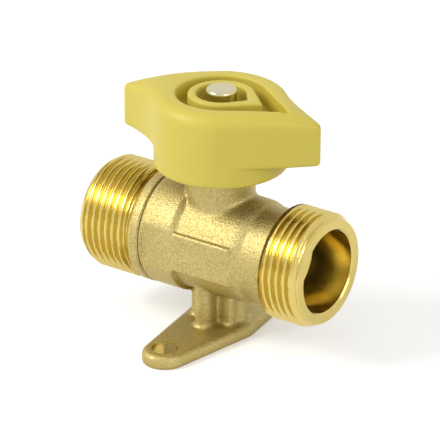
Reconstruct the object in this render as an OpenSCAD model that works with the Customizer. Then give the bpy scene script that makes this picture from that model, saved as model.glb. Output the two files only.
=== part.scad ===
// Ball valve for butane gas with two male threaded ends, a two-wing knob and a foot for fixing to a wall.
// Millimetres. +X runs along the pipe, +Z up the stem. The origin is on the foot's flat base under the stem.
// The valve is shown open: the wings of the knob lie along the pipe.

/* [Pipe] */
// Height of the pipe axis above the base of the foot
axis_h = 21.9; // [20:0.1:30]
// From the stem axis to the left end face
left_reach = 31.0; // [28:0.1:40]
// From the stem axis to the right end face
right_reach = 29.4; // [27:0.1:40]
// Outer diameter of both external threads
thread_d = 26.44; // [25:0.01:28]
// Length of the thread on the screwed-in end piece
thread_len_left = 13.1; // [10:0.1:13.5]
// Length of the thread on the body
thread_len_right = 10.2; // [8:0.1:11]
// Radial height of the chamfer that starts each thread
thread_lead = 1.25; // [0.8:0.05:1.5]
// Diameter of the wide bore in each end
bore_d = 19.1; // [15:0.1:20]
// Depth of the wide bore in each end
bore_depth = 10.8; // [6:0.1:10.9]
// Diameter of the way through the ball and of the passages to it
port_d = 13; // [9:0.1:13.5]

/* [Body] */
// Diameter of the socket that takes the end piece
socket_d = 26.4; // [25.6:0.1:28]
// From the stem axis to the joint between the body and the end piece
joint_x = 14.0; // [13:0.1:15]
// From the stem axis to the step down from the socket to the chamber
step_x = 5.0; // [3:0.1:6]
// Diameter of the ball chamber outside
chamber_d = 24.1; // [23.6:0.1:25.4]
// Length of the plain land between the neck's flare and the thread
neck_land = 0.4; // [0.1:0.1:2]
// Radius of the rounding at the end of the chamber
shoulder_r = 7; // [6:0.1:8]
// Smallest diameter of the neck between the chamber and the thread
neck_d = 19; // [18.6:0.1:20]
// Radius of the waist where the neck flares out to the thread
waist_r = 2.8; // [2.4:0.1:3]
// Across the two flats on the sides of the body
flats_w = 24.4; // [24.2:0.1:25]
// Height of the raised flats
flats_h = 9.4; // [6:0.1:10]
// From the stem axis to the right edge of the raised flats
flats_end = 10.7; // [8:0.1:11]
// Diameter of the boss that carries the stem
boss_d = 15.6; // [13.5:0.1:17]
// Height of the boss above the pipe axis
boss_h = 21.3; // [20:0.1:22]
// Radius of the fillet round the foot of the boss
boss_fillet = 1.2; // [0.8:0.1:3]

/* [Foot] */
// Thickness of the foot plate
foot_t = 3.1; // [2:0.1:5]
// Distance between the centres of the two fixing holes
hole_spacing = 43; // [38:0.1:50]
// Diameter of the fixing holes
hole_d = 6; // [3:0.1:6.5]
// Radius of the rounded tips of the foot
tip_r = 5.2; // [4.6:0.1:6]
// Half the width of the foot at its middle
foot_half_w = 8.7; // [8.5:0.1:10]
// Radius of the foot's rounded side corners
side_r = 4; // [2:0.1:6]
// Radius of the rounding along the foot's top edge
foot_round = 1.2; // [0.4:0.1:1.6]
// Width of the column's core along the pipe
core_x = 11.6; // [10.6:0.1:12]
// Thickness of the column's core across the pipe
core_y = 8; // [7:0.1:9]
// Radius of the core's upright corners
core_r = 1; // [0.5:0.1:1.2]
// Thickness of the column's round-nosed ribs
rib_t = 4; // [3.4:0.1:4.4]
// From the stem axis to the nose of the ribs that point along the foot
rib_reach_y = 8.7; // [8.4:0.1:10]
// From the core's sides to the nose of the ribs under the pipe
rib_rise = 1.1; // [0.8:0.1:1.4]
// Radius of the fillet between the column and the foot
column_fillet = 1.2; // [0.6:0.1:1.2]

/* [Ball and seats] */
// Diameter of the ball
ball_d = 19; // [18:0.1:19.2]
// Thickness of each seat ring
seat_t = 3.9; // [3:0.1:4.2]
// Outer diameter of each seat ring
seat_d = 18.4; // [17:0.1:18.6]
// Depth of the pockets that hold the seat rings
seat_pocket = 2.4; // [1.5:0.1:2.6]
// From the stem axis to the back of each seat ring
seat_back = 9.3; // [9.2:0.1:9.6]
// Outer diameter of the end piece where it screws into the body
spigot_d = 22; // [21.6:0.1:22.8]

/* [Stem] */
// Diameter of the stem where the knob holds it
stem_d = 7; // [6:0.1:7.6]
// Height of the top of the stem above the pipe axis
stem_top = 37.1; // [36:0.1:39]
// Diameter of the stem's sealing barrel
barrel_d = 9; // [8.6:0.1:9.6]
// Thickness of the tang that turns the ball
tang_t = 4.4; // [3.5:0.1:5]
// Length of the tang
tang_len = 8.4; // [7:0.1:8.6]
// Thickness of the metal lip that holds the stem in the boss
lip_t = 1.6; // [1.2:0.1:2]
// Thickness of the low-friction washer under the lip
washer_t = 0.8; // [0.5:0.1:1.2]
// Section diameter of the sealing rings
seal_d = 1.4; // [1.2:0.1:1.6]
// Radius of each groove of the knurl that grips the knob
knurl_r = 0.35; // [0.2:0.05:0.5]
// Height of the rounded shoulder at the top of the stem
stem_round = 0.8; // [0.4:0.1:1.2]

/* [Knob] */
// Diameter of the knob's round skirt
skirt_d = 30.4; // [29:0.1:33]
// Height of the skirt's lower edge above the pipe axis
skirt_z = 18.9; // [18.2:0.1:19.4]
// Height of the underside of the wings above the pipe axis
wing_z = 23.4; // [21:0.1:25]
// Height of the top of the knob above the pipe axis
knob_top = 36; // [35:0.1:37]
// From the stem axis to the tip of each wing
wing_reach = 24.9; // [22:0.1:30]
// Drop of the knob's top from its middle to the tips of the wings
wing_drop = 2.6; // [0:0.1:3.2]
// Width of each wing at its rounded tip
wing_tip_w = 2.6; // [2.4:0.1:4]
// Radius of the rounding along the top edge of the knob's middle
knob_round = 3; // [1.5:0.1:3.4]
// Radius of the rounding along the top edge at the wing tips
tip_round = 1.1; // [0.6:0.1:1.1]
// Wall of the knob
knob_wall = 2.2; // [1.6:0.1:2.6]
// Depth of the drop-shaped recess in the top
recess_depth = 5; // [3:0.1:5.4]
// Radius of the round end of the recess
recess_r = 10.2; // [9.6:0.1:10.6]
// From the stem axis to the pointed end of the recess
recess_tip = 18.2; // [15:0.1:18.6]
// Outer radius of the raised collar round the stem
collar_r = 7.6; // [7.2:0.1:8]
// From the stem axis to the collar's corner
collar_tip = 11.2; // [9.6:0.1:12]
// Wall of the raised collar
collar_wall = 2; // [1.2:0.1:2.2]
// Depth of the pocket inside the collar
pocket_depth = 4.5; // [3:0.1:5]
// Diameter of the hub that grips the stem
hub_d = 12; // [10.5:0.1:13]
// Angle swept by each stop lug on the boss
stop_angle = 45; // [35:1:55]
// Turn of the knob from open to closed
turn = 90; // [80:1:90]
// Outer diameter of the stop lugs on the boss
stop_d = 22.4; // [20:0.1:23]

/* [Hidden] */
$fn = 96;
// Radial clearance of a shaft in its bore
running_clear = 0.05;
// Fit of the knob's hub on the stem
press_clear = 0.02;
// Gap between the ball and its seats, and round the ball
seat_gap = 0.2;
chamber_gap = 0.4;
// Gap between moving and fixed faces that must not meet
free_gap = 0.3;
// Small overlap that joins two solids or carries a cut through a face
bite = 0.5;

thread_r = thread_d / 2;
bore_r = bore_d / 2;
port_r = port_d / 2;
ball_r = ball_d / 2;
socket_r = socket_d / 2;
chamber_r = chamber_d / 2;
neck_r = neck_d / 2;
spigot_r = spigot_d / 2;
cavity_r = ball_r + chamber_gap;
seat_face = seat_back - seat_pocket;
lead_len = thread_lead * 1.75;
collar_len = left_reach - thread_len_left - joint_x;

barrel_r = barrel_d / 2;
stem_r = stem_d / 2;
boss_r = boss_d / 2;
lip_z = boss_h - lip_t;
barrel_top = lip_z - washer_t - 2 * running_clear;
barrel_bottom = cavity_r + 2 * running_clear;
slot_floor = port_r + bite;
slot_clear = 0.1;
seal_r = seal_d / 2;
groove_h = seal_d + 0.4;
barrel_len = barrel_top - barrel_bottom;
seal_lower_z = barrel_bottom + barrel_len * 0.28;
seal_upper_z = barrel_bottom + barrel_len * 0.72;

skirt_r = skirt_d / 2;
hub_r = hub_d / 2;
hub_z = boss_h + free_gap;
recess_z = knob_top - recess_depth;
roof_z = recess_z - knob_wall;
pocket_z = knob_top - pocket_depth;

// Points along an arc from angle a to angle b about a centre
function arc(c, r, a, b, n = 8) = [for (i = [0:n])
    let (t = a + (b - a) * i / n) [c.x + r * cos(t), c.y + r * sin(t)]];
// Unit normal to the right of the line from p to q
function side(p, q) = let (d = q - p) [d.y, -d.x] / norm(d);
// A closed outline moved inwards by a distance, corner by corner
function inset(pts, d) = let (n = len(pts)) [for (i = [0:n - 1])
    let (a = side(pts[(i + n - 1) % n], pts[i]), b = side(pts[i], pts[(i + 1) % n]), m = a + b)
    pts[i] - m * d / (1 + a * b)];
// Where a line from the point p touches a circle about the origin, on the side given by s
function touch(p, r, s) = let (a = atan2(p.y, p.x) + s * acos(r / norm(p))) [r * cos(a), r * sin(a)];

// Turns a profile of [radius, distance along X] about the pipe axis
module about_pipe(profile) {
    translate([0, 0, axis_h]) rotate([0, 90, 0]) rotate_extrude() polygon(profile);
}

// A cylinder on the pipe axis from x0 to x1
module pipe_cyl(r, x0, x1) {
    translate([x0, 0, axis_h]) rotate([0, 90, 0]) cylinder(r = r, h = x1 - x0);
}

// A cylinder on the stem axis between two heights above the pipe axis
module stem_cyl(r, z0, z1) {
    translate([0, 0, axis_h + z0]) cylinder(r = r, h = z1 - z0);
}

// A closed solid through rings of points, each ring a list of [x, y, z]; the ends are fans about their middles
function middle(ring) = [for (p = ring) 1] * ring / len(ring);
module loft(rings) {
    n = len(rings[0]);
    last = len(rings) - 1;
    count = n * (last + 1);
    walls = [for (k = [0:last - 1]) for (i = [0:n - 1]) let (j = (i + 1) % n)
        each [[k * n + i, (k + 1) * n + i, (k + 1) * n + j], [k * n + i, (k + 1) * n + j, k * n + j]]];
    ends = [for (i = [0:n - 1]) let (j = (i + 1) % n)
        each [[i, j, count], [last * n + j, last * n + i, count + 1]]];
    polyhedron([for (ring = rings) each ring, middle(rings[0]), middle(rings[last])], concat(walls, ends));
}

// A drop shape: a circle about the origin drawn out to a point
module drop(r, tip) {
    s = r - edge_sink;
    circle(r);
    polygon([touch(tip, s, 1), touch(tip, s, -1), tip]);
}

// The chamfered external thread, left at its outer diameter, from x0 outwards to x1
function thread_profile(x0, x1) = let (s = sign(x1 - x0))
    [[thread_r, x0], [thread_r, x1 - s * lead_len], [thread_r - thread_lead, x1]];

// Body: the convex shoulder and the concave waist meet where their circles touch
thread_x = right_reach - thread_len_right;
edge_r = 0.4;
// Depth by which a blend's edge dips into the surfaces it runs out on
edge_sink = 0.03;
shoulder_y = chamber_r - shoulder_r;
waist_y = neck_r + waist_r;
root_r = thread_r - thread_lead;
shoulder_a = acos((waist_y - shoulder_y) / (shoulder_r + waist_r));
waist_a = acos(max(0, waist_y - root_r) / waist_r);
waist_x = thread_x - neck_land - waist_r * sin(waist_a);
chamber_end = waist_x - (shoulder_r + waist_r) * sin(shoulder_a);
body_profile = concat(
    [[0, -joint_x], [socket_r - edge_r, -joint_x], [socket_r, edge_r - joint_x],
     [socket_r, -step_x - edge_r / 2], [chamber_r, -step_x + edge_r / 2]],
    arc([shoulder_y, chamber_end], shoulder_r, 0, shoulder_a),
    arc([waist_y, waist_x], waist_r, 180 + shoulder_a, 180 - waist_a, 12),
    thread_profile(thread_x, right_reach),
    [[0, right_reach]]);

// The way through an end: a wide bore with a drilled cone at its bottom and a narrow passage, from x0 inwards
module end_bore(x0, x1) {
    s = sign(x0 - x1);
    floor_x = x0 - s * bore_depth;
    about_pipe([[0, x0 + s * bite], [bore_r, x0 + s * bite], [bore_r, floor_x],
                [port_r, floor_x - s * (bore_r - port_r) * 0.6], [port_r, x1], [0, x1]]);
}

// Flat on the front or back of the body: it rises from the chamber and is cut into the socket
flat_y = flats_w / 2;
module raised_flat() {
    translate([-joint_x + 2 * edge_r, 0, axis_h - flats_h / 2])
        cube([flats_end + joint_x - 2 * edge_r, flat_y, flats_h]);
}

// The boss and the fillet that follows the saddle where it meets the chamber
saddle_n = 48;
function saddle(r, a) = sqrt(chamber_r ^ 2 - (r * sin(a)) ^ 2);
function saddle_ring(t) = let (r = boss_r - edge_sink + boss_fillet * (1 - cos(t)),
    h = boss_fillet * (1 - sin(t)))
    [for (i = [0:saddle_n - 1]) let (a = i * 360 / saddle_n)
        [r * cos(a), r * sin(a), saddle(r, a) + h - edge_sink]];
module boss() {
    base_r = boss_r - edge_sink + boss_fillet;
    stem_cyl(boss_r, 0, boss_h);
    translate([0, 0, axis_h]) loft(concat(
        [[for (i = [0:saddle_n - 1]) let (a = i * 360 / saddle_n) [base_r * cos(a), base_r * sin(a), 0]]],
        [for (t = [90:-15:0]) saddle_ring(t)]));
}

// A slice of a cylinder about the stem axis, a degrees wide about +Y
module sector(r, a, z0, z1) {
    reach = r / cos(a / 2);
    intersection() {
        stem_cyl(r, z0, z1);
        translate([0, 0, axis_h + z0]) linear_extrude(z1 - z0)
            polygon([[0, 0], [reach * sin(a / 2), reach * cos(a / 2)],
                [-reach * sin(a / 2), reach * cos(a / 2)]]);
    }
}
// Two stop lugs on the boss, on the front and the back
lug_h = 1.6;
module stop_lugs() {
    for (a = [0, 180]) rotate(a) sector(stop_d / 2, stop_angle, boss_h - lug_h, boss_h);
}

// Direction of the line that leaves circle p, [centre, radius], for the next circle q anticlockwise
function leaving(p, q) = let (d = q[0] - p[0]) atan2(d.y, d.x) - acos((p[1] - q[1]) / norm(d));
// Outline round circles listed anticlockwise, with every radius less by a distance
function round_about(c, less) = let (n = len(c)) [for (i = [0:n - 1])
    let (a = leaving(c[(i + n - 1) % n], c[i]), b = leaving(c[i], c[(i + 1) % n]))
    each arc(c[i][0], c[i][1] - less, a, b < a ? b + 360 : b, 14)];
hole_y = hole_spacing / 2;
foot_corners = [[[foot_half_w - side_r, 0], side_r], [[0, hole_y], tip_r],
                [[side_r - foot_half_w, 0], side_r], [[0, -hole_y], tip_r]];
function foot_ring(less, z) = [for (p = round_about(foot_corners, less)) [p.x, p.y, z]];

// Foot plate: its top edge is rounded as forged
module foot_plate() {
    loft(concat([foot_ring(edge_r / 2, 0), foot_ring(0, edge_r / 2)],
        [for (a = [0:18:90]) foot_ring(foot_round * (1 - cos(a)), foot_t - foot_round * (1 - sin(a)))]));
}

// Column between the foot and the chamber: a core with two round-nosed ribs along the foot, two low ribs under
// the pipe, and a fillet where it stands on the foot
nose_r = rib_t / 2;
rib_a = acos((nose_r - rib_rise) / nose_r);
function quarter() = concat(
    arc([core_x / 2 + rib_rise - nose_r, 0], nose_r, 0, rib_a, 4),
    arc([core_x / 2 - core_r, core_y / 2 - core_r], core_r, 0, 90, 4), [[nose_r, core_y / 2]],
    arc([0, rib_reach_y - nose_r], nose_r, 0, 90, 5));
function across(pts) = [for (i = [len(pts) - 2:-1:1]) [-pts[i].x, pts[i].y]];
function half_column() = let (q = quarter()) concat(q, across(q));
column_outline = concat(half_column(), -half_column());
function column_ring(out, z) = [for (p = inset(column_outline, -out)) [p.x, p.y, z]];
module column() {
    loft(concat([column_ring(column_fillet, foot_t - bite)],
        [for (a = [0:18:90]) column_ring(column_fillet * (1 - sin(a)),
            foot_t - edge_sink + column_fillet * (1 - cos(a)))],
        [column_ring(0, axis_h)]));
}

// Forged brass body with its thread, boss, column and foot in one piece
module body() {
    color("darkkhaki") difference() {
        union() {
            difference() {
                about_pipe(body_profile);
                for (s = [-1, 1]) translate([-joint_x + 2 * edge_r, s > 0 ? flat_y : -flat_y - socket_r, 0])
                    cube([joint_x - step_x, socket_r, axis_h + socket_r]);
            }
            raised_flat();
            mirror([0, 1, 0]) raised_flat();
            boss();
            stop_lugs();
            column();
            foot_plate();
        }
        for (y = [-hole_y, hole_y]) translate([0, y, -bite]) cylinder(d = hole_d, h = foot_t + 2 * bite);
        pipe_cyl(spigot_r + running_clear, -joint_x - bite, -seat_face);
        pipe_cyl(cavity_r, -seat_face - bite, seat_face);
        pipe_cyl(seat_d / 2 + running_clear, seat_face - bite, seat_back);
        end_bore(right_reach, seat_back - bite);
        stem_cyl(barrel_r + running_clear, 0, lip_z);
        stem_cyl(stem_r + running_clear, 0, boss_h + bite);
    }
}

// Turned brass end piece: thread, bevelled ring, collar and the spigot that screws into the body
seal_x = joint_x - 1.2;
spigot_seal_r = spigot_r - seal_d;
ring_len = collar_len * 0.42;
ring_r = thread_r - 0.5;
module end_piece() {
    collar_x = joint_x + collar_len;
    color("goldenrod") difference() {
        about_pipe(concat(
            [[0, -seat_face], [spigot_r, -seat_face], [spigot_r, groove_h / 2 - seal_x],
             [spigot_seal_r, groove_h / 2 - seal_x], [spigot_seal_r, -groove_h / 2 - seal_x],
             [spigot_r, -groove_h / 2 - seal_x], [spigot_r, -joint_x],
             [socket_r - edge_r, -joint_x], [socket_r, -joint_x - edge_r],
             [socket_r, ring_len - collar_x], [ring_r, -collar_x]],
            thread_profile(-collar_x, -left_reach),
            [[0, -left_reach]]));
        end_bore(-left_reach, bite - seat_back);
        pipe_cyl(seat_d / 2 + running_clear, -seat_back, -seat_face + bite);
    }
}

// A rubber ring of round section about the Z axis
module seal_ring(outer_r) {
    color("dimgray") rotate_extrude() translate([outer_r - seal_r, 0]) circle(seal_r, $fn = 32);
}

// Rubber ring that seals the joint between the end piece and the body
module end_piece_o_ring() {
    translate([-seal_x, 0, axis_h]) rotate([0, 90, 0]) seal_ring(spigot_r);
}

// Chromed ball with its port along the pipe and a slot for the stem across its top
module ball() {
    color("silver") translate([0, 0, axis_h]) difference() {
        sphere(ball_r);
        rotate([0, 90, 0]) cylinder(r = port_r, h = 2 * ball_d, center = true);
        translate([-tang_t / 2 - slot_clear, -ball_d, slot_floor])
            cube([tang_t + 2 * slot_clear, 2 * ball_d, ball_r]);
    }
}

// PTFE seat ring on the right of the ball, hollowed to the ball
module seat_ring_right() {
    color("white") difference() {
        pipe_cyl(seat_d / 2, seat_back - seat_t, seat_back);
        pipe_cyl(port_r, 0, seat_back + bite);
        translate([0, 0, axis_h]) sphere(ball_r + seat_gap);
    }
}

// The same ring on the left
module seat_ring_left() {
    mirror([1, 0, 0]) seat_ring_right();
}

// Turned stem: tang, grooved barrel and the round shank that carries the knob
knurls = 18;
module stem() {
    color("gainsboro") difference() {
        union() {
            intersection() {
                stem_cyl(barrel_r, slot_floor + slot_clear, barrel_bottom + bite);
                translate([-tang_t / 2, -tang_len / 2, axis_h]) cube([tang_t, tang_len, barrel_bottom + bite]);
            }
            stem_cyl(barrel_r, barrel_bottom, barrel_top);
            translate([0, 0, axis_h]) rotate_extrude() polygon(concat(
                [[0, barrel_bottom], [stem_r, barrel_bottom]],
                arc([stem_r - stem_round, stem_top - stem_round], stem_round, 0, 90),
                [[0, stem_top]]));
        }
        for (z = [seal_lower_z, seal_upper_z]) difference() {
            stem_cyl(barrel_d, z - groove_h / 2, z + groove_h / 2);
            stem_cyl(barrel_r - seal_d, z - groove_h, z + groove_h);
        }
        for (i = [1:knurls]) rotate(i * 360 / knurls) translate([stem_r + knurl_r / 2, 0, axis_h + hub_z])
            cylinder(r = knurl_r, h = pocket_z - hub_z, $fn = 16);
    }
}

// Low-friction washer between the barrel's shoulder and the lip of the boss
module stem_washer() {
    color("white") difference() {
        stem_cyl(barrel_r, lip_z - washer_t, lip_z);
        stem_cyl(stem_r + running_clear, lip_z - 2 * washer_t, lip_z + washer_t);
    }
}

// Rubber rings in the grooves of the barrel
module stem_o_ring_lower() {
    translate([0, 0, axis_h + seal_lower_z]) seal_ring(barrel_r);
}
module stem_o_ring_upper() {
    translate([0, 0, axis_h + seal_upper_z]) seal_ring(barrel_r);
}

// Outline of the knob for one wing, anticlockwise from where its straight side leaves the skirt
front_a = -60;
back_a = 46;
front_bulge = 0.4;
back_hollow = 7;
tip = [wing_reach - wing_tip_w / 2, 2.5];
tip_front_a = -46;
tip_back_a = 78;
// The middle of the knob stands out a little over the skirt below it
drum_r = skirt_r + 0.1;
function on_drum(a) = drum_r * [cos(a), sin(a)];
function curve(p, c, q, n) = [for (i = [0:n])
    let (t = i / n) p * (1 - t) ^ 2 + c * 2 * t * (1 - t) + q * t ^ 2];
function half_outline() =
    let (p = on_drum(front_a), ends = arc(tip, wing_tip_w / 2, tip_front_a, tip_back_a, 6), q = ends[0],
         b = on_drum(back_a), c = b + back_hollow * [sin(back_a), -cos(back_a)], m = (p + q) / 2)
    concat(curve(p, m + side(p, q) * 2 * front_bulge, q, 7), [for (i = [1:5]) ends[i]], curve(ends[6], c, b, 9),
           [for (i = [1:8]) on_drum(back_a + (180 + front_a - back_a) * i / 9)]);
outline = concat(half_outline(), -half_outline());
// Rounding of the top edge at a point: full round the middle, less towards the tips
function edge_round(p) = knob_round
    + (tip_round - knob_round) * max(0, norm(p) - drum_r) / (wing_reach - drum_r);
// Height of the top at a distance from the stem axis, level in the middle and falling to the tips
function top_z(d) = knob_top - wing_drop * (max(0, d - drum_r) / (wing_reach - drum_r)) ^ 1.3;
// The outline moved inwards by a share of the rounding at each point, at its height on the rounding
function round_ring(a) = let (n = len(outline)) [for (i = [0:n - 1])
    let (p = outline[i], e = edge_round(p),
        u = side(outline[(i + n - 1) % n], p), v = side(p, outline[(i + 1) % n]),
         q = p - (u + v) * e * (1 - cos(a)) / (1 + u * v))
    [q.x, q.y, top_z(norm(p)) - e * (1 - sin(a))]];
function top_ring(share) = [for (q = round_ring(90)) let (p = share * [q.x, q.y]) [p.x, p.y, top_z(norm(p))]];
function flat_ring(d, z) = [for (p = inset(outline, d)) [p.x, p.y, z]];

module wings() {
    translate([0, 0, axis_h])
        loft(concat([flat_ring(edge_r, wing_z), flat_ring(0, wing_z + edge_r)],
            [for (a = [0:15:90]) round_ring(a)], [for (share = [0.88, 0.76, 0.64]) top_ring(share)]));
}

// Hollow under the knob: round inside the skirt and following the wings
module knob_hollow() {
    stem_cyl(skirt_r - knob_wall, skirt_z - bite, roof_z);
    translate([0, 0, axis_h + wing_z - bite]) linear_extrude(roof_z - wing_z + bite)
        offset(delta = -knob_wall) polygon(outline);
}

// Ribs inside the skirt that meet the stop lugs at the ends of the turn
rib_gap = 2;
module stop_ribs() {
    rib_a = 180 - stop_angle - turn - 2 * rib_gap;
    intersection() {
        for (a = [0, 180]) rotate(a - turn / 2) sector(skirt_r - bite, rib_a, hub_z - lug_h, roof_z + bite);
        difference() {
            stem_cyl(skirt_r, 0, knob_top);
            stem_cyl(boss_r + free_gap, -bite, knob_top + bite);
        }
    }
}

// Moulded knob with its drop-shaped recess, raised collar, hub and stop ribs
module knob() {
    color("goldenrod") difference() {
        union() {
            difference() {
                union() {
                    wings();
                    translate([0, 0, axis_h])
                        rotate_extrude() polygon([[0, skirt_z], [skirt_r - edge_r, skirt_z],
                        [skirt_r, skirt_z + edge_r], [skirt_r, wing_z + bite], [0, wing_z + bite]]);
                }
                knob_hollow();
            }
            stem_cyl(hub_r, hub_z, roof_z + bite);
            stop_ribs();
        }
        translate([0, 0, axis_h + recess_z]) linear_extrude(recess_depth + bite) difference() {
            drop(recess_r, [recess_tip, 0]);
            drop(collar_r, [collar_tip, 0]);
        }
        translate([0, 0, axis_h + pocket_z]) linear_extrude(pocket_depth + bite)
            drop(collar_r - collar_wall, [collar_tip - 2 * collar_wall, 0]);
        stem_cyl(stem_r + press_clear, 0, knob_top);
    }
}

body();
end_piece();
end_piece_o_ring();
ball();
seat_ring_left();
seat_ring_right();
stem();
stem_washer();
stem_o_ring_lower();
stem_o_ring_upper();
knob();
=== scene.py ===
# Ball valve for butane gas: a sand-blasted brass forging with two threaded ends and a foot, a yellow knob.
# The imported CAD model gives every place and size. Metres, pipe along X, stem along Z.
import math

import bmesh
import bpy
from mathutils import Matrix, Vector


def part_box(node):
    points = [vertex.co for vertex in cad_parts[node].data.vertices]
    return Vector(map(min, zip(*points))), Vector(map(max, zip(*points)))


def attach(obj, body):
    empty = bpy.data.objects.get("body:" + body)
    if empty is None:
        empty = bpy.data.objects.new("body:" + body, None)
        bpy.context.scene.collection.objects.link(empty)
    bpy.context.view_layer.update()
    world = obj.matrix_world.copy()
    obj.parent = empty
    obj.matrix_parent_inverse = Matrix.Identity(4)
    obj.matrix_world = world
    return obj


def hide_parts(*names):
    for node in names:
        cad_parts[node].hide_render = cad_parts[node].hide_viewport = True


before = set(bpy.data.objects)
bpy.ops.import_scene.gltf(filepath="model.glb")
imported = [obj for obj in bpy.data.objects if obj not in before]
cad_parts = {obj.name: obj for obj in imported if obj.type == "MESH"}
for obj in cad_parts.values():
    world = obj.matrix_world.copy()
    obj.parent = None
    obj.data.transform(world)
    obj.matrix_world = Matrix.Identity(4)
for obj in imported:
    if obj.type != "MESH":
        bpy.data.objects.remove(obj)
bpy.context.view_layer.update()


# Forged body: hot-forged brass, sand-blasted, then machined where it seals. The forging is the CAD node's
# solid with soft edges. The right-hand thread, bores, joint face and fixing holes are cut clean into it.
MM = 0.001
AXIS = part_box("ball")[0][2] / 2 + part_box("ball")[1][2] / 2
JOINT_X = -14.0 * MM
NECK_X = 19.25 * MM
RIGHT_X = 29.4 * MM
CREST_R = 13.22 * MM
ROOT_R = 12.06 * MM
LEAD = 1.25 * MM
BORE_R = 9.55 * MM
PORT_R = 6.5 * MM
HOLE_Y = 21.5 * MM
HOLE_R = 3 * MM
STEM_R = 4.55 * MM


def new_object(name, mesh):
    obj = bpy.data.objects.new(name, mesh)
    bpy.context.scene.collection.objects.link(obj)
    return obj


def drop(*objects):
    for obj in objects:
        bpy.data.objects.remove(obj, do_unlink=True)


def settled(obj):
    """Turns the object's modifiers into its plain mesh."""
    graph = bpy.context.evaluated_depsgraph_get()
    mesh = bpy.data.meshes.new_from_object(obj.evaluated_get(graph), depsgraph=graph)
    obj.modifiers.clear()
    obj.data = mesh
    return obj


def modified(obj, kind, **settings):
    """Applies one modifier to the object's mesh."""
    modifier = obj.modifiers.new(kind.lower(), kind)
    for name, value in settings.items():
        setattr(modifier, name, value)
    return settled(obj)


def cut(obj, operation, *tools):
    """Joins solids to the object, or cuts them from it, and removes them."""
    for tool in tools:
        modified(obj, "BOOLEAN", operation=operation, solver="MANIFOLD", object=tool)
        drop(tool)
    return obj


def shaded(obj, angle=35):
    """Smooth shading with sharp edges where the surface turns by more than the angle."""
    mesh = obj.data
    mesh.polygons.foreach_set("use_smooth", [True] * len(mesh.polygons))
    mesh.set_sharp_from_angle(angle=math.radians(angle))
    return obj


def cad_copy(name, node):
    """A merged copy of a CAD node's mesh."""
    bm = bmesh.new()
    bm.from_mesh(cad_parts[node].data)
    bmesh.ops.remove_doubles(bm, verts=bm.verts, dist=2e-6)
    mesh = bpy.data.meshes.new(name)
    bm.to_mesh(mesh)
    bm.free()
    return new_object(name, mesh)


def turned(name, profile, axis="X", steps=192, at=(0, 0)):
    """A solid turned about a line along X or Z, from [place, radius] pairs in metres.

    The profile ends on the line, or where it began, which leaves a ring.
    """
    bm = bmesh.new()
    rings = []
    for place, radius in profile:
        if rings and (place, radius) == profile[0]:
            rings.append(rings[0])
            continue
        ring = []
        for i in range(steps if radius > 0 else 1):
            a = 2 * math.pi * i / steps
            c, s = radius * math.cos(a), radius * math.sin(a)
            point = (at[0] + c, at[1] + s)
            ring.append(bm.verts.new((place, *point) if axis == "X" else (*point, place)))
        rings.append(ring)
    for a, b in zip(rings, rings[1:]):
        for i in range(steps):
            j = (i + 1) % steps
            corners = [a[i % len(a)], a[j % len(a)], b[j % len(b)], b[i % len(b)]]
            bm.faces.new(list(dict.fromkeys(corners)))
    bmesh.ops.recalc_face_normals(bm, faces=bm.faces)
    mesh = bpy.data.meshes.new(name)
    bm.to_mesh(mesh)
    bm.free()
    return new_object(name, mesh)


def add(tree, kind, inputs=None, **settings):
    """Adds a node with its settings, and gives its inputs values or links."""
    node = tree.nodes.new(kind)
    for name, value in settings.items():
        setattr(node, name, value)
    for name, value in (inputs or {}).items():
        if isinstance(value, bpy.types.NodeSocket):
            tree.links.new(value, node.inputs[name])
        else:
            node.inputs[name].default_value = value
    return node


def linear(code):
    """An sRGB hex colour as linear red, green, blue and alpha."""
    parts = [int(code[i:i + 2], 16) / 255 for i in (1, 3, 5)]
    return tuple(p / 12.92 if p <= 0.04045 else ((p + 0.055) / 1.055) ** 2.4 for p in parts) + (1.0,)


def material(name):
    """A new node material with its Principled shader and its Object coordinates."""
    made = bpy.data.materials.new(name)
    made.use_nodes = True
    shader = made.node_tree.nodes["Principled BSDF"]
    place = add(made.node_tree, "ShaderNodeTexCoord").outputs["Object"]
    return made, made.node_tree, shader, place


# CW617N brass as forged and sand-blasted: matt khaki gold, with a fine grit that sparkles, and painted shade:
# a little darker and browner in the hollows, wherever ambient occlusion finds the surface closed in
blasted, tree, shader, place = material("sand_blasted_brass")
grit = add(tree, "ShaderNodeTexNoise", {"Vector": place, "Scale": 2600.0, "Detail": 3.0, "Roughness": 0.75})
pits = add(tree, "ShaderNodeTexVoronoi", {"Vector": place, "Scale": 2300.0, "Randomness": 1.0})
cloud = add(tree, "ShaderNodeTexNoise", {"Vector": place, "Scale": 130.0, "Detail": 3.0, "Roughness": 0.5})
hollow = add(tree, "ShaderNodeAmbientOcclusion", {"Distance": 4 * MM}, samples=8)
tone = add(tree, "ShaderNodeMapRange", {"Value": grit.outputs["Fac"], "From Min": 0.3, "From Max": 0.7})
grain = add(tree, "ShaderNodeMix", {0: tone.outputs[0], 6: linear("#a08f56"), 7: linear("#d8c98c")},
            data_type="RGBA")
patch = add(tree, "ShaderNodeMapRange", {"Value": cloud.outputs["Fac"], "From Min": 0.35, "From Max": 0.65,
                                         "To Min": 0.0, "To Max": 0.35})
mottled = add(tree, "ShaderNodeMix", {0: patch.outputs[0], 6: grain.outputs[2], 7: linear("#b29b55")},
              data_type="RGBA")
# Painted shade: the colour goes toward a dark brown #8a6d24 where ambient occlusion finds a hollow
hollow_shade_amount = add(tree, "ShaderNodeMapRange", {"Value": hollow.outputs["AO"], "From Min": 0.25, "From Max": 0.8,
                                        "To Min": 0.55, "To Max": 0.0})
hollow_shaded = add(tree, "ShaderNodeMix", {0: hollow_shade_amount.outputs[0], 6: mottled.outputs[2], 7: linear("#8a6d24")},
           data_type="RGBA")
rough = add(tree, "ShaderNodeMapRange", {"Value": pits.outputs["Distance"], "From Max": 0.8,
                                        "To Min": 0.36, "To Max": 0.6})
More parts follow.
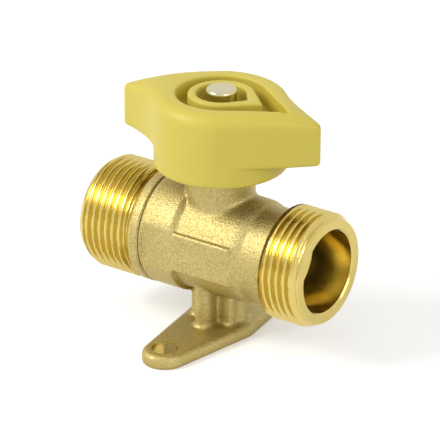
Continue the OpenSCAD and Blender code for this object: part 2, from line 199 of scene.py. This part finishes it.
height = add(tree, "ShaderNodeMath", {0: grit.outputs["Fac"], 1: pits.outputs["Distance"]}, operation="ADD")
bump = add(tree, "ShaderNodeBump", {"Height": height.outputs[0], "Strength": 0.55, "Distance": 0.12 * MM})
tree.links.new(hollow_shaded.outputs[2], shader.inputs["Base Color"])
tree.links.new(rough.outputs[0], shader.inputs["Roughness"])
tree.links.new(bump.outputs[0], shader.inputs["Normal"])
shader.inputs["Metallic"].default_value = 1.0

# The same brass turned on a lathe: bright gold, with fine rings left by the tool round the pipe axis
machined, tree, shader, place = material("turned_brass")
apart = add(tree, "ShaderNodeSeparateXYZ", {0: place})
above = add(tree, "ShaderNodeMath", {0: apart.outputs["Z"], 1: AXIS}, operation="SUBTRACT")
flat = add(tree, "ShaderNodeCombineXYZ", {"X": apart.outputs["Y"], "Y": above.outputs[0]})
radius = add(tree, "ShaderNodeVectorMath", {0: flat.outputs[0]}, operation="LENGTH")
across = add(tree, "ShaderNodeCombineXYZ", {"X": apart.outputs["X"], "Y": radius.outputs["Value"]})
marks = add(tree, "ShaderNodeTexNoise", {"Vector": across.outputs[0], "Scale": 5200.0, "Detail": 2.0,
                                        "Roughness": 0.6})
stain = add(tree, "ShaderNodeTexNoise", {"Vector": place, "Scale": 210.0, "Detail": 4.0, "Roughness": 0.6})
tint = add(tree, "ShaderNodeMix", {0: stain.outputs["Fac"], 6: linear("#cdb763"), 7: linear("#dcc77c")},
           data_type="RGBA")
gloss = add(tree, "ShaderNodeMapRange", {"Value": stain.outputs["Fac"], "From Min": 0.3, "From Max": 0.7,
                                         "To Min": 0.16, "To Max": 0.26})
bump = add(tree, "ShaderNodeBump", {"Height": marks.outputs["Fac"], "Strength": 0.25, "Distance": 0.02 * MM})
tree.links.new(tint.outputs[2], shader.inputs["Base Color"])
tree.links.new(gloss.outputs[0], shader.inputs["Roughness"])
tree.links.new(bump.outputs[0], shader.inputs["Normal"])
shader.inputs["Metallic"].default_value = 1.0

# One right-hand pipe thread as a tube: a grid wrapped round the pipe axis, its radius following a rounded V
thread_tree = bpy.data.node_groups.new("pipe_thread", "GeometryNodeTree")
THREAD_INPUTS = {"Crest radius": CREST_R, "Root radius": ROOT_R, "Pitch": 1.814 * MM, "Phase": -0.33,
                 "Length": 10 * MM, "Start": 0.0, "Direction": 1.0, "Lead": LEAD, "Axis height": AXIS}
for name in THREAD_INPUTS:
    thread_tree.interface.new_socket(name, in_out="INPUT", socket_type="NodeSocketFloat")
for name in ("Rows", "Around"):
    thread_tree.interface.new_socket(name, in_out="INPUT", socket_type="NodeSocketInt")
thread_tree.interface.new_socket("Metal", in_out="INPUT", socket_type="NodeSocketMaterial")
thread_tree.interface.new_socket("Geometry", in_out="OUTPUT", socket_type="NodeSocketGeometry")
tree = thread_tree
given = add(tree, "NodeGroupInput").outputs
grid_size = {name: add(tree, "ShaderNodeMath", {0: given[count], 1: more}, operation="ADD").outputs[0]
             for name, count, more in (("Vertices X", "Around", 1.0), ("Vertices Y", "Rows", 2.0))}
grid = add(tree, "GeometryNodeMeshGrid", {"Size X": 1.0, "Size Y": 1.0, **grid_size})
at = add(tree, "ShaderNodeSeparateXYZ", {0: add(tree, "GeometryNodeInputPosition").outputs[0]})
found = {socket.name: socket for socket in [*given, *at.outputs]}
# Each line names a value, its operation and its terms. X runs once round the axis, Y along it, and the
# first row is sunk below the root so that the tube closes inside the metal.
for name, operation, *terms in (
        ("turn", "ADD", "X", 0.5),
        ("spread", "ADD", "Y", 0.5),
        ("last row", "ADD", "Rows", 1.0),
        ("row", "MULTIPLY", "spread", "last row"),
        ("past first", "SUBTRACT", "row", 1.0),
        ("counted", "MAXIMUM", "past first", 0.0),
        ("share", "DIVIDE", "counted", "Rows"),
        ("along", "MULTIPLY", "share", "Length"),
        ("where", "MULTIPLY_ADD", "along", "Direction", "Start"),
        ("pitches", "DIVIDE", "where", "Pitch"),
        ("wound", "SUBTRACT", "pitches", "turn"),
        ("shifted", "ADD", "wound", "Phase"),
        ("phase", "FRACT", "shifted"),
        ("swing", "MULTIPLY_ADD", "phase", 2.0, -1.0),
        ("fold", "ABSOLUTE", "swing"),
        ("rise", "SUBTRACT", 1.0, "fold"),
        ("depth", "SUBTRACT", "Crest radius", "Root radius"),
        ("left over", "SUBTRACT", "Length", "along"),
        ("slope", "DIVIDE", "left over", 1.75),
        ("bevel", "SUBTRACT", "Crest radius", "Lead"),
        ("cone", "ADD", "bevel", "slope"),
        ("first", "LESS_THAN", "row", 0.5),
        ("sunk", "SUBTRACT", "Root radius", 0.3 * MM),
        ("angle", "MULTIPLY", "turn", 2 * math.pi),
        ("cosine", "COSINE", "angle"),
        ("sine", "SINE", "angle"),
        ("flank", "SMOOTH_STEP", "rise"),
        ("ridge", "MULTIPLY_ADD", "flank", "depth", "Root radius"),
        ("chamfered", "MINIMUM", "ridge", "cone"),
        ("drop", "SUBTRACT", "sunk", "chamfered"),
        ("radius", "MULTIPLY_ADD", "first", "drop", "chamfered"),
        ("side", "MULTIPLY", "radius", "cosine"),
        ("height", "MULTIPLY_ADD", "radius", "sine", "Axis height")):
    if operation == "SMOOTH_STEP":
        node = add(tree, "ShaderNodeMapRange", {"Value": found[terms[0]], "From Min": 0.1, "From Max": 0.9},
                   interpolation_type="SMOOTHSTEP")
    else:
        node = add(tree, "ShaderNodeMath", {i: found.get(term, term) for i, term in enumerate(terms)},
                   operation=operation)
    found[name] = node.outputs[0]
point = add(tree, "ShaderNodeCombineXYZ", {"X": found["where"], "Y": found["side"], "Z": found["height"]})
wrapped = add(tree, "GeometryNodeSetPosition", {"Geometry": grid.outputs["Mesh"],
                                                     "Position": point.outputs[0]})
closed = add(tree, "GeometryNodeMergeByDistance", {"Geometry": wrapped.outputs[0], "Distance": 1e-6})
real = add(tree, "GeometryNodeRealizeInstances", {"Geometry": closed.outputs[0]})
dressed = add(tree, "GeometryNodeSetMaterial", {"Geometry": real.outputs[0], "Material": given["Metal"]})
add(tree, "NodeGroupOutput", {"Geometry": dressed.outputs[0]})


def thread(name, **sizes):
    """A length of the thread as a closed solid."""
    obj = new_object(name, bpy.data.meshes.new(name))
    modifier = obj.modifiers.new("thread", "NODES")
    modifier.node_group = thread_tree
    values = dict(THREAD_INPUTS, Rows=16, Around=240, Metal=machined)
    values.update(sizes)
    values["Rows"] = round(values["Length"] / values["Pitch"] * 16)
    for item in thread_tree.interface.items_tree:
        if item.in_out == "INPUT":
            modifier[item.identifier] = values[item.name]
    settled(obj)
    bm = bmesh.new()
    bm.from_mesh(obj.data)
    bmesh.ops.holes_fill(bm, edges=[e for e in bm.edges if e.is_boundary], sides=0)
    bmesh.ops.recalc_face_normals(bm, faces=bm.faces)
    bm.to_mesh(obj.data)
    bm.free()
    return obj


def bore(name, mouth, side, end):
    """The way through an end, as a solid to cut with: bevelled mouth, wide bore, drilled floor, passage."""
    floor = mouth - side * 10.8 * MM
    profile = [(mouth + side * MM, 0), (mouth + side * MM, BORE_R + 1.35 * MM),
               (mouth - side * 0.35 * MM, BORE_R), (floor, BORE_R),
               (floor - side * (BORE_R - PORT_R) * 0.6, PORT_R), (end, PORT_R), (end, 0)]
    return turned(name, profile, at=(0, AXIS))


def finished(obj, finishes, choose):
    """Gives the object its materials, and each face the one that a rule on its middle and normal chooses."""
    obj.data.materials.clear()
    for made in finishes:
        obj.data.materials.append(made)
    for face in obj.data.polygons:
        face.material_index = choose(face.center, face.normal)
    return obj


def body_finish(middle, normal):
    """1 where the body is machined: past the neck, at the joint, and where a face looks into a hole."""
    if middle.x > NECK_X or middle.x < JOINT_X + 0.05 * MM:
        return 1
    from_axes = ((Vector((0, middle.y, middle.z - AXIS)), SPIGOT_R),
                 (Vector((middle.x, abs(middle.y) - HOLE_Y, 0)), HOLE_R),
                 (Vector((middle.x, middle.y, 0)), STEM_R if middle.z > AXIS else 0))
    return int(any(out.length < reach + 0.1 * MM and normal.dot(out) < 0.1 * out.length
                   for out, reach in from_axes))


body = cad_copy("valve_body", "body")
plugs = [turned("plug", [(a, 0), (a, r), (b, r), (b, 0)], axis, 64, place)
         for axis, a, b, r, place in (("X", JOINT_X, RIGHT_X, 11.3 * MM, (0, AXIS)),
                                      ("Z", AXIS, AXIS + 21.3 * MM, 4.7 * MM, (0, 0)))]
holes = [(0, -HOLE_Y), (0, HOLE_Y)]
PLUG_R = HOLE_R + 0.1 * MM
FOOT_T = 3.1 * MM
plugs += [turned("plug", [(0, 0), (0, PLUG_R), (FOOT_T, PLUG_R), (FOOT_T, 0)], "Z", 64, at) for at in holes]
bm = bmesh.new()
for obj in [body] + plugs:
    bm.from_mesh(obj.data)
bm.to_mesh(body.data)
bm.free()
drop(*plugs)
modified(body, "REMESH", mode="VOXEL", voxel_size=0.3 * MM, adaptivity=0.0)
modified(body, "SMOOTH", factor=0.5, iterations=9)
spans = ((-0.02, JOINT_X), (NECK_X, 0.04))
ends = [turned("end_cut", [(a, 0), (a, 0.02), (b, 0.02), (b, 0)], "X", 64, (0, AXIS)) for a, b in spans]
cut(body, "DIFFERENCE", *ends)
start = NECK_X - 0.02 * MM
cut(body, "UNION", thread("right_thread", Start=start, Length=RIGHT_X - start, Direction=1.0))
SPIGOT_R, CAVITY_R, SEAT_R, SEAT_BACK, SEAT_FACE = (v * MM for v in (11.05, 9.9, 9.25, 9.3, 6.9))
tools = [
    turned("pocket", [(JOINT_X - MM, 0), (JOINT_X - MM, SPIGOT_R), (-SEAT_FACE, SPIGOT_R),
                      (-SEAT_FACE, CAVITY_R), (SEAT_FACE, CAVITY_R), (SEAT_FACE, SEAT_R), (SEAT_BACK, SEAT_R),
                      (SEAT_BACK, 0)], at=(0, AXIS)),
    bore("right_bore", RIGHT_X, 1, SEAT_BACK - 0.5 * MM),
    turned("stem_bore", [(AXIS, 0), (AXIS, STEM_R), (AXIS + 19.7 * MM, STEM_R), (AXIS + 19.7 * MM, 3.55 * MM),
                         (AXIS + 22 * MM, 3.55 * MM), (AXIS + 22 * MM, 0)], "Z", 96)]
tools += [turned("hole", [(-MM, 0), (-MM, HOLE_R), (4 * MM, HOLE_R), (4 * MM, 0)], "Z", 96, at)
          for at in holes]
cut(body, "DIFFERENCE", *tools)
finished(body, (blasted, machined), body_finish)
shaded(body)
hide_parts("body")
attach(body, "valve_body")


# End piece: turned from brass bar and screwed into the body's left side. Outside it has the same thread, a
# relief groove, a bevelled bright ring, and a collar blasted together with the body.
LEFT_X = -31.0 * MM
COLLAR_R = 13.2 * MM
THREAD_END = -18.4 * MM
collar_face = JOINT_X - 0.05 * MM
profile = [(-SEAT_FACE, 0), (-SEAT_FACE, 11 * MM), (collar_face, 11 * MM),
           (collar_face, COLLAR_R - 0.35 * MM),
           (JOINT_X - 0.4 * MM, COLLAR_R), (-16.2 * MM, COLLAR_R), (-16.4 * MM, COLLAR_R - 0.1 * MM),
           (-17.4 * MM, 12.6 * MM), (-17.55 * MM, 12.3 * MM), (-17.7 * MM, 11.7 * MM),
           (THREAD_END - 0.2 * MM, 11.7 * MM), (THREAD_END - 0.2 * MM, 0)]
end_piece = turned("end_piece_turned", profile, at=(0, AXIS), steps=240)
cut(end_piece, "UNION", thread("left_thread", Start=THREAD_END, Length=THREAD_END - LEFT_X, Direction=-1.0))
tools = [bore("left_bore", LEFT_X, -1, 0.5 * MM - SEAT_BACK),
         turned("seat_pocket", [(-SEAT_BACK, 0), (-SEAT_BACK, SEAT_R), (0, SEAT_R), (0, 0)], at=(0, AXIS)),
         turned("ring_groove", [(-13.7 * MM, 12 * MM), (-13.7 * MM, 9.6 * MM), (-11.9 * MM, 9.6 * MM),
                                (-11.9 * MM, 12 * MM), (-13.7 * MM, 12 * MM)], at=(0, AXIS))]
cut(end_piece, "DIFFERENCE", *tools)


def end_piece_finish(middle, normal):
    """1 on the blasted collar beside the joint."""
    return int(-16.3 * MM < middle.x < JOINT_X and math.hypot(middle.y, middle.z - AXIS) > 12.5 * MM)


finished(end_piece, (machined, blasted), end_piece_finish)
shaded(end_piece)
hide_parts("end_piece")
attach(end_piece, "valve_body")


# Ball: brass, chromed and polished, seen through the bores. It keeps its CAD solid.
chrome, tree, shader, place = material("polished_chrome")
smear = add(tree, "ShaderNodeTexNoise", {"Vector": place, "Scale": 300.0, "Detail": 4.0})
gloss = add(tree, "ShaderNodeMapRange", {"Value": smear.outputs["Fac"], "To Min": 0.06, "To Max": 0.2})
tree.links.new(gloss.outputs[0], shader.inputs["Roughness"])
shader.inputs["Base Color"].default_value = linear("#c9cccb")
shader.inputs["Metallic"].default_value = 1.0


def finish_node(node, made):
    """Gives a carried-over CAD node its material."""
    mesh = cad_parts[node].data
    mesh.materials.clear()
    mesh.materials.append(made)


finish_node("ball", chrome)


# Seats and washer: turned PTFE, waxy white. They keep their CAD solids.
ptfe, tree, shader, place = material("turned_ptfe")
cloud = add(tree, "ShaderNodeTexNoise", {"Vector": place, "Scale": 400.0, "Detail": 3.0})
tint = add(tree, "ShaderNodeMix", {0: cloud.outputs["Fac"], 6: linear("#dfe0da"), 7: linear("#ecece8")},
           data_type="RGBA")
tree.links.new(tint.outputs[2], shader.inputs["Base Color"])
shader.inputs["Roughness"].default_value = 0.45
for node in ("seat_ring_left", "seat_ring_right", "stem_washer"):
    finish_node(node, ptfe)


# Sealing rings: moulded black nitrile rubber, hidden in their grooves. They keep their CAD solids.
rubber, tree, shader, place = material("nitrile_rubber")
cloud = add(tree, "ShaderNodeTexNoise", {"Vector": place, "Scale": 700.0, "Detail": 3.0})
gloss = add(tree, "ShaderNodeMapRange", {"Value": cloud.outputs["Fac"], "To Min": 0.4, "To Max": 0.6})
tree.links.new(gloss.outputs[0], shader.inputs["Roughness"])
shader.inputs["Base Color"].default_value = linear("#1c1c1d")
for node in ("end_piece_o_ring", "stem_o_ring_lower", "stem_o_ring_upper"):
    finish_node(node, rubber)


# Stem: turned and polished brass, its round end standing in the knob's pocket.
polished, tree, shader, place = material("polished_stem")
marks = add(tree, "ShaderNodeTexNoise", {"Vector": place, "Scale": 1500.0, "Detail": 3.0})
gloss = add(tree, "ShaderNodeMapRange", {"Value": marks.outputs["Fac"], "From Min": 0.3, "From Max": 0.7,
                                         "To Min": 0.12, "To Max": 0.24})
tree.links.new(gloss.outputs[0], shader.inputs["Roughness"])
shader.inputs["Base Color"].default_value = linear("#cfc6a0")
shader.inputs["Metallic"].default_value = 1.0
finish_node("stem", polished)


# Knob: injection-moulded yellow ABS in one piece, with soft edges from the mould. It is pressed on the stem.
plastic, tree, shader, place = material("moulded_yellow_abs")
skin = add(tree, "ShaderNodeTexNoise", {"Vector": place, "Scale": 3000.0, "Detail": 2.0})
cloud = add(tree, "ShaderNodeTexNoise", {"Vector": place, "Scale": 60.0, "Detail": 2.0})
tint = add(tree, "ShaderNodeMix", {0: cloud.outputs["Fac"], 6: linear("#cdbb45"), 7: linear("#d2c14f")},
           data_type="RGBA")
gloss = add(tree, "ShaderNodeMapRange", {"Value": cloud.outputs["Fac"], "To Min": 0.42, "To Max": 0.52})
bump = add(tree, "ShaderNodeBump", {"Height": skin.outputs["Fac"], "Strength": 0.15, "Distance": 0.02 * MM})
tree.links.new(tint.outputs[2], shader.inputs["Base Color"])
tree.links.new(gloss.outputs[0], shader.inputs["Roughness"])
tree.links.new(bump.outputs[0], shader.inputs["Normal"])
knob = cad_copy("knob_moulded", "knob")
modified(knob, "REMESH", mode="VOXEL", voxel_size=0.32 * MM, adaptivity=0.0)
modified(knob, "SMOOTH", factor=0.5, iterations=6)
knob.data.materials.clear()
knob.data.materials.append(plastic)
shaded(knob, 60)
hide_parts("knob")
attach(knob, "turning_group")


# Studio: a pale table under a soft main lamp from the upper left front and a weaker one from the right.
floor_mesh = bpy.data.meshes.new("studio_floor")
floor_mesh.from_pydata([(-4, -4, 0), (4, -4, 0), (4, 4, 0), (-4, 4, 0)], [], [(0, 1, 2, 3)])
floor = new_object("studio_floor", floor_mesh)
paper, tree, shader, place = material("white_paper")
fibre = add(tree, "ShaderNodeTexNoise", {"Vector": place, "Scale": 30.0})
tint = add(tree, "ShaderNodeMix", {0: fibre.outputs["Fac"], 6: linear("#e9e9e9"), 7: linear("#ececec")},
           data_type="RGBA")
tree.links.new(tint.outputs[2], shader.inputs["Base Color"])
shader.inputs["Roughness"].default_value = 0.9
rays = add(tree, "ShaderNodeLightPath").outputs
seen = add(tree, "ShaderNodeMath", {0: rays["Is Camera Ray"], 1: rays["Is Glossy Ray"]}, operation="MAXIMUM")
seen = add(tree, "ShaderNodeMath", {0: seen.outputs[0], 1: rays["Is Transmission Ray"]}, operation="MAXIMUM")
lift = add(tree, "ShaderNodeMath", {0: seen.outputs[0], 1: 0.35}, operation="MULTIPLY")
shader.inputs["Emission Color"].default_value = (1, 1, 1, 1)
tree.links.new(lift.outputs[0], shader.inputs["Emission Strength"])
floor_mesh.materials.append(paper)

world = bpy.data.worlds.new("studio")
bpy.context.scene.world = world
world.use_nodes = True
tree = world.node_tree
rays = add(tree, "ShaderNodeLightPath").outputs
seen = add(tree, "ShaderNodeMath", {0: rays["Is Camera Ray"], 1: rays["Is Glossy Ray"]}, operation="MAXIMUM")
seen = add(tree, "ShaderNodeMath", {0: seen.outputs[0], 1: rays["Is Transmission Ray"]}, operation="MAXIMUM")
level = add(tree, "ShaderNodeMapRange", {"Value": seen.outputs[0], "To Min": 0.6, "To Max": 1.0})
sky = tree.nodes["Background"]
tree.links.new(level.outputs[0], sky.inputs["Strength"])
sky.inputs["Color"].default_value = (1, 1, 1, 1)


def lamp(name, toward, distance, size, power):
    """A square soft lamp that shines on the valve from a direction."""
    light = bpy.data.lights.new(name, "AREA")
    light.shape, light.size, light.energy = "SQUARE", size, power
    obj = new_object(name, light)
    aim = Vector((0, 0, 0.02))
    obj.location = aim + Vector(toward).normalized() * distance
    obj.rotation_euler = (aim - obj.location).to_track_quat("-Z", "Y").to_euler()
    return obj


lamp("main_lamp", (-0.53, -0.567, 0.63), 1.2, 0.5, 8.0)
lamp("side_lamp", (0.9, -0.25, 0.55), 1.4, 0.8, 4.0)


# Camera at the photograph's place: a long lens from the front right and above.
camera = bpy.data.cameras.new("camera")
camera.lens, camera.sensor_width, camera.sensor_fit = 311.515, 36.0, "HORIZONTAL"
camera.clip_start, camera.clip_end = 0.05, 20.0
eye = new_object("camera", camera)
right = Vector((0.81291378, 0.58237823, 0.00260579))
up = Vector((-0.24015254, 0.33113446, 0.91251122))
back = Vector((0.5305638, -0.74241873, 0.40904337))
turned_to = Matrix((right, up, back)).transposed().to_4x4()
eye.matrix_world = Matrix.Translation((0.4556995, -0.6380555, 0.3782116)) @ turned_to
bpy.context.scene.camera = eye
bpy.context.scene.view_settings.view_transform = "Standard"
